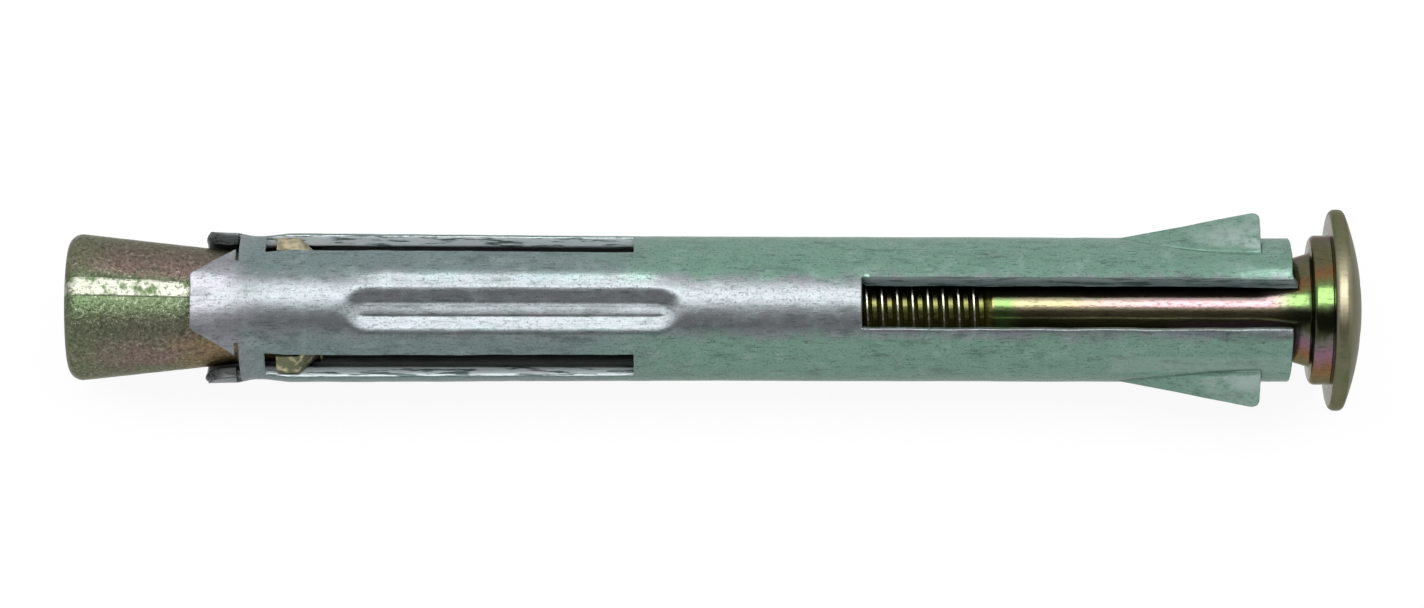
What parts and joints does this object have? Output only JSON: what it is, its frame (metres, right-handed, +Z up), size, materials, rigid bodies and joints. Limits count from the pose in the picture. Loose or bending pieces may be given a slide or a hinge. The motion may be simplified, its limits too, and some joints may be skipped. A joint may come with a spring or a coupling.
{
  "type": "metal frame anchor",
  "caption": "Slotted sheet sleeve with three expanding legs on a domed cross-recess screw, drawn apart by a cone nut with guide lugs.",
  "frame": {"origin": "on the screw's axis, in the plane where the head bears on the frame that it holds", "axes": "+X from the head's bearing plane out through the dome, so the sleeve and the cone nut lie along -X; +Z up, on the side of the sleeve's long slot; +Y to the left as seen from behind the head"},
  "size_m": [0.0849, 0.0132, 0.0132],
  "materials": {
    "zinc_sheet": "pale blue-green zinc plate on rolled steel sheet, lightly marked",
    "zinc_screw": "bright zinc plate with a thin olive and straw iridescent passivation",
    "zinc_nut": "grainy zinc plate with a green and rose iridescent passivation"
  },
  "bodies": {
    "sleeve": {"sleeve": "zinc_sheet"},
    "screw": {"screw": "zinc_screw"},
    "cone_nut": {"cone_nut": "zinc_nut"}
  },
  "joints": [
    {"name": "screw_turn", "type": "hinge", "parent": "sleeve", "child": "screw", "pos_m": [0, 0, 0], "axis": [-1, 0, 0], "range_deg": [-240, 630]},
    {"name": "nut_slide", "type": "slide", "parent": "sleeve", "child": "cone_nut", "axis": [1, 0, 0], "range_m": [-0.00067, 0.00176]}
  ],
  "couplings": [
    {"joint": "nut_slide", "follows": "screw_turn", "m_per_rad": 0.00015915}
  ]
}
